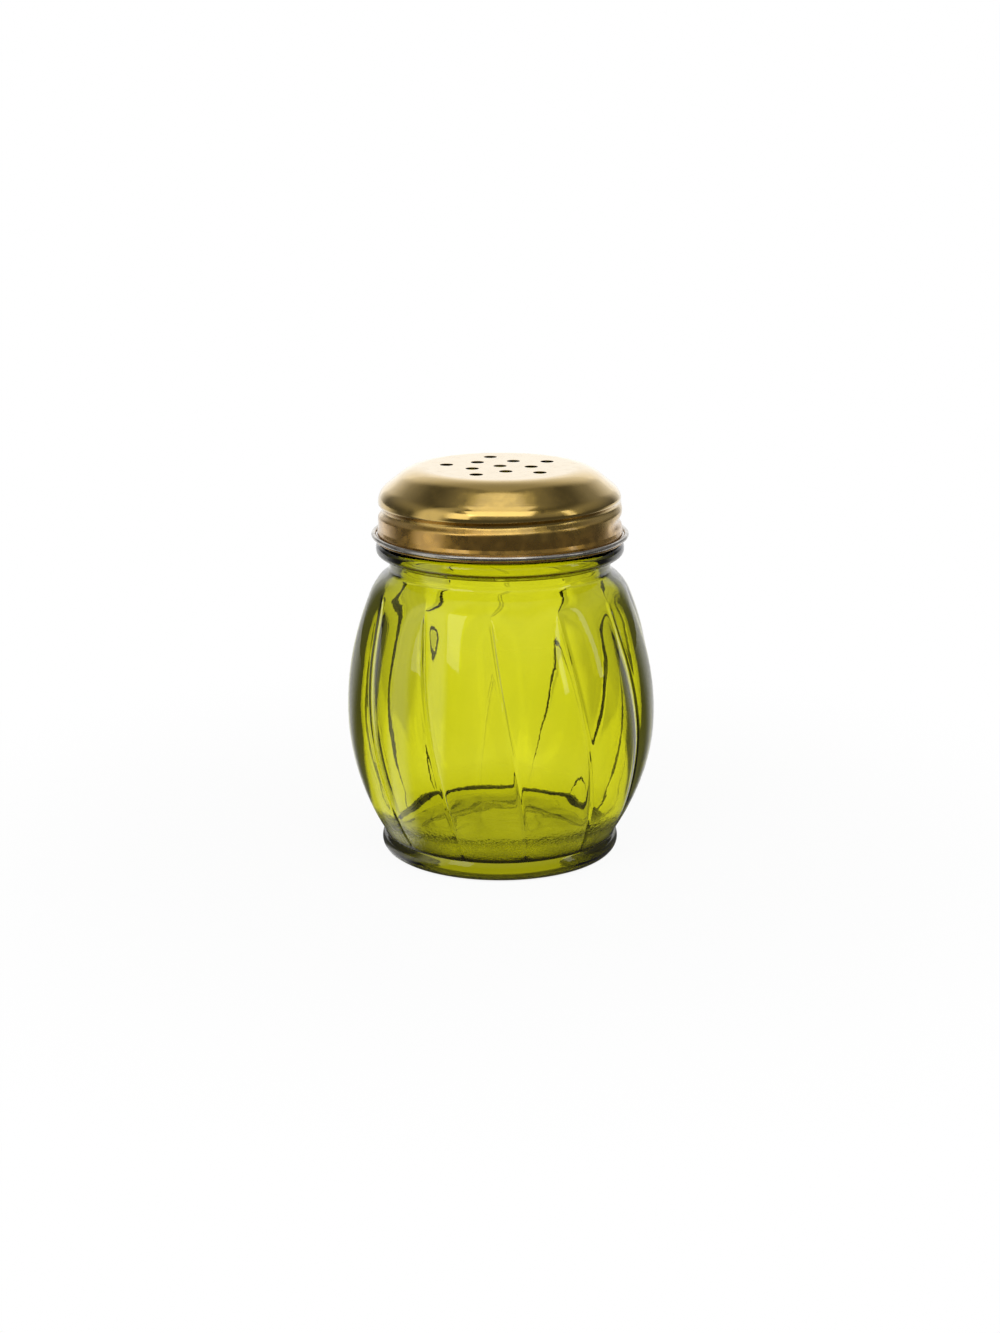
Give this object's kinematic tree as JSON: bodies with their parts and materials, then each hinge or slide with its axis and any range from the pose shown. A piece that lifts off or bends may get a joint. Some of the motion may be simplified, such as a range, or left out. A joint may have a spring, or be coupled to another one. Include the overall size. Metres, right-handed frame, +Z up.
{
  "type": "parmesan shaker",
  "caption": "Table shaker for grated cheese: a swirl-lobed green glass jar with a perforated gold screw cap that turns off its thread.",
  "frame": {"origin": "middle of the foot, on the table plane", "axes": "+Z up along the jar's axis, -Y to the front of the jar as pictured, +X to its right"},
  "size_m": [0.0796, 0.0796, 0.1009],
  "materials": {
    "green_glass": "clear, fire-polished, tinted olive green through the glass",
    "gold_plate": "polished gold-coloured plate on thin sheet",
    "bare_steel": "bare steel, worn bright"
  },
  "bodies": {
    "jar": {"glass_jar": "green_glass"},
    "rim": {"rim_ring": "bare_steel"},
    "cap": {"lid_cap": "gold_plate"}
  },
  "joints": [
    {"name": "lid_rise", "type": "slide", "parent": "jar", "child": "rim", "axis": [0, 0, 1], "range_m": [0, 0.0168]},
    {"name": "lid_turn", "type": "hinge", "parent": "rim", "child": "cap", "pos_m": [0, 0, 0.0837], "axis": [0, 0, 1], "range_deg": [0, 1440]}
  ],
  "couplings": [
    {"joint": "lid_rise", "follows": "lid_turn", "m_per_rad": 0.00066845}
  ]
}
